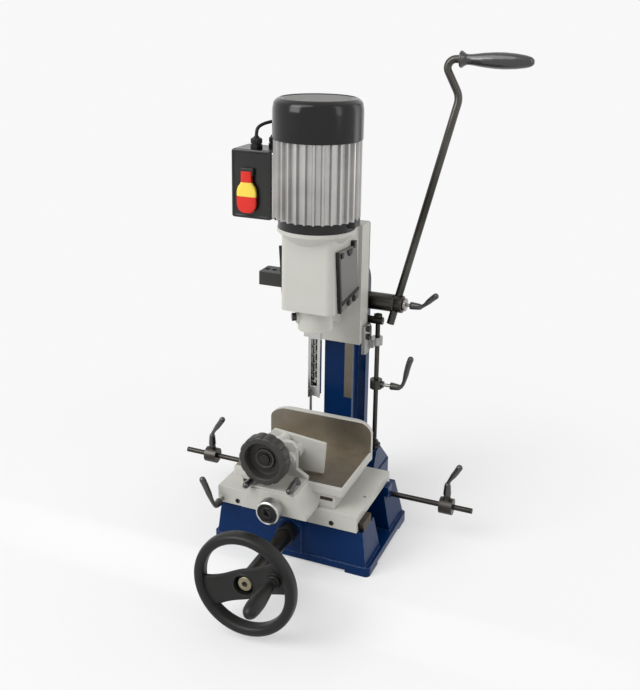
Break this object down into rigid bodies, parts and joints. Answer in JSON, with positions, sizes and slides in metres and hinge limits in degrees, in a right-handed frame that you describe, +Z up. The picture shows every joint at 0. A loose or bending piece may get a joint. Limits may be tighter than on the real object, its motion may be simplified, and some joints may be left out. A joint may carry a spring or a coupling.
{
  "type": "benchtop mortiser",
  "caption": "Benchtop mortiser: motor head on a column with rack feed lever, cross-slide table with fence and vise, and hand wheels.",
  "frame": {"origin": "the point on the bench plane straight below the chisel's axis; the base stands on Z = 0 and is bolted down there", "axes": "+X to the operator's right along the long table travel, +Y to the back, towards the column, +Z up along the chisel"},
  "size_m": [0.554, 0.5604, 0.8171],
  "materials": {
    "blue_paint": "semi-gloss blue enamel over cast iron",
    "white_paint": "semi-gloss warm white enamel over cast iron",
    "ground_iron": "ground and oiled iron",
    "bright_steel": "turned and ground steel",
    "blackened_steel": "black oxide steel",
    "aluminium": "silver lacquered aluminium",
    "chrome": "polished chrome",
    "black_plastic": "satin black plastic",
    "gloss_black": "gloss black enamel",
    "dark_grey": "dark grey moulded plastic",
    "switch_red": "glossy red plastic",
    "rubber_cable": "matte black rubber",
    "brass": "plain brass",
    "copper_steel": "laminated steel and copper"
  },
  "bodies": {
    "machine": {"base_casting": "blue_paint", "column": "blue_paint", "column_bolts": "blackened_steel", "drive_bush": "blackened_steel", "depth_rod": "blackened_steel", "depth_fittings": "blackened_steel", "strut_rod": "chrome"},
    "x_drive": {"drive_shaft": "blackened_steel", "hand_wheel": "black_plastic"},
    "crank": {"crank_grip": "black_plastic"},
    "saddle_body": {"saddle": "white_paint", "saddle_gib": "brass", "gib_screws": "blackened_steel", "saddle_rack": "bright_steel", "stop_rod": "blackened_steel"},
    "saddle_lock": {"saddle_lock_lever": "blackened_steel"},
    "right_stop": {"stop_collar_right": "blackened_steel"},
    "right_stop_lever": {"stop_lever_right": "black_plastic"},
    "left_stop": {"stop_collar_left": "blackened_steel"},
    "left_stop_lever": {"stop_lever_left": "black_plastic"},
    "table": {"table_casting": "white_paint", "fence": "white_paint", "vise_bracket": "white_paint"},
    "y_screw": {"leadscrew": "bright_steel", "leadscrew_knob": "chrome"},
    "jaw": {"vise_jaw": "white_paint"},
    "vise_wheel": {"vise_screw": "bright_steel", "vise_hand_wheel": "black_plastic"},
    "right_clamp": {"vise_clamp_right": "black_plastic"},
    "left_clamp": {"vise_clamp_left": "black_plastic"},
    "head": {"head_casting": "white_paint", "slide_keepers": "ground_iron", "head_screws": "blackened_steel", "head_rack": "bright_steel", "stop_arm": "bright_steel", "side_covers": "dark_grey", "storage_block": "dark_grey", "hollow_chisel": "bright_steel", "chisel_lock_screw": "blackened_steel", "motor_flange": "gloss_black", "motor_frame": "aluminium", "stator_and_bearings": "copper_steel", "fan_cover": "gloss_black", "switch_box": "black_plastic", "cable_glands": "black_plastic", "switch_cable": "rubber_cable", "strut_tube": "blackened_steel"},
    "spindle": {"rotor_shaft": "bright_steel", "cooling_fan": "black_plastic", "chuck": "bright_steel", "auger_bit": "bright_steel"},
    "paddle": {"switch_paddle": "switch_red"},
    "feed_lever": {"lever_shaft": "bright_steel", "lever_hub": "blackened_steel", "lever_rod": "blackened_steel", "lever_grip": "black_plastic"},
    "feed_clamp": {"hub_lever": "blackened_steel"},
    "depth_stop": {"depth_collar": "blackened_steel"},
    "depth_stop_lever": {"depth_lever": "black_plastic"}
  },
  "joints": [
    {"name": "saddle_slide", "type": "slide", "parent": "machine", "child": "saddle_body", "axis": [1, 0, 0], "range_m": [-0.06, 0.06]},
    {"name": "hand_wheel_turn", "type": "hinge", "parent": "machine", "child": "x_drive", "pos_m": [0, 0, 0.05], "axis": [0, 1, 0], "range_deg": [-215.36, 215.36]},
    {"name": "crank_spin", "type": "hinge", "parent": "x_drive", "child": "crank", "pos_m": [0.04888, -0.262, 0.07176], "axis": [0, 1, 0], "continuous": true},
    {"name": "saddle_lock_turn", "type": "hinge", "parent": "saddle_body", "child": "saddle_lock", "pos_m": [-0.117, -0.099, 0.08], "axis": [0, 1, 0], "range_deg": [-70, 0]},
    {"name": "right_stop_slide", "type": "slide", "parent": "saddle_body", "child": "right_stop", "axis": [1, 0, 0], "range_m": [0, 0.03]},
    {"name": "right_stop_lever_turn", "type": "hinge", "parent": "right_stop", "child": "right_stop_lever", "pos_m": [0.213, 0.06, 0.06], "axis": [0, 0, 1], "range_deg": [-80, 80]},
    {"name": "left_stop_slide", "type": "slide", "parent": "saddle_body", "child": "left_stop", "axis": [1, 0, 0], "range_m": [-0.035, 0]},
    {"name": "left_stop_lever_turn", "type": "hinge", "parent": "left_stop", "child": "left_stop_lever", "pos_m": [-0.224, 0.06, 0.06], "axis": [0, 0, 1], "range_deg": [-80, 80]},
    {"name": "table_slide", "type": "slide", "parent": "saddle_body", "child": "table", "axis": [0, 1, 0], "range_m": [-0.02, 0.02]},
    {"name": "knob_turn", "type": "hinge", "parent": "table", "child": "y_screw", "pos_m": [-0.0045, -0.145, 0.117], "axis": [0, 1, 0], "range_deg": [-902, 902]},
    {"name": "jaw_slide", "type": "slide", "parent": "table", "child": "jaw", "axis": [0, 1, 0], "range_m": [-0.003, 0.018]},
    {"name": "vise_wheel_turn", "type": "hinge", "parent": "jaw", "child": "vise_wheel", "pos_m": [-0.0215, -0.14, 0.1905], "axis": [0, 1, 0], "range_deg": [-92, 542]},
    {"name": "right_clamp_turn", "type": "hinge", "parent": "table", "child": "right_clamp", "pos_m": [0.019, -0.112, 0.144], "axis": [0, 0, 1], "range_deg": [-15, 60]},
    {"name": "left_clamp_turn", "type": "hinge", "parent": "table", "child": "left_clamp", "pos_m": [-0.041, -0.121, 0.144], "axis": [0, 0, 1], "range_deg": [-60, 0]},
    {"name": "head_slide", "type": "slide", "parent": "machine", "child": "head", "axis": [0, 0, 1], "range_m": [-0.06, 0]},
    {"name": "lever_turn", "type": "hinge", "parent": "machine", "child": "feed_lever", "pos_m": [0, 0.141, 0.368], "axis": [1, 0, 0], "range_deg": [-0.5, 143.74]},
    {"name": "feed_clamp_turn", "type": "hinge", "parent": "feed_lever", "child": "feed_clamp", "pos_m": [0.101, 0.141, 0.368], "axis": [1, 0, 0], "range_deg": [-70, 70]},
    {"name": "spindle_turn", "type": "hinge", "parent": "head", "child": "spindle", "pos_m": [0, 0, 0.6], "axis": [0, 0, 1], "continuous": true},
    {"name": "paddle_turn", "type": "hinge", "parent": "head", "child": "paddle", "pos_m": [-0.113, -0.016, 0.6], "axis": [1, 0, 0], "range_deg": [-40, 0]},
    {"name": "depth_stop_slide", "type": "slide", "parent": "machine", "child": "depth_stop", "axis": [0, 0, 1], "range_m": [-0.06, 0]},
    {"name": "depth_stop_lever_turn", "type": "hinge", "parent": "depth_stop", "child": "depth_stop_lever", "pos_m": [0.062, 0.126, 0.224], "axis": [1, 0, 0], "range_deg": [-70, 70]}
  ],
  "couplings": [
    {"joint": "hand_wheel_turn", "follows": "saddle_slide", "rad_per_m": 62.5},
    {"joint": "knob_turn", "follows": "table_slide", "rad_per_m": 785.4},
    {"joint": "vise_wheel_turn", "follows": "jaw_slide", "rad_per_m": 523.6},
    {"joint": "lever_turn", "follows": "head_slide", "rad_per_m": -41.667}
  ]
}
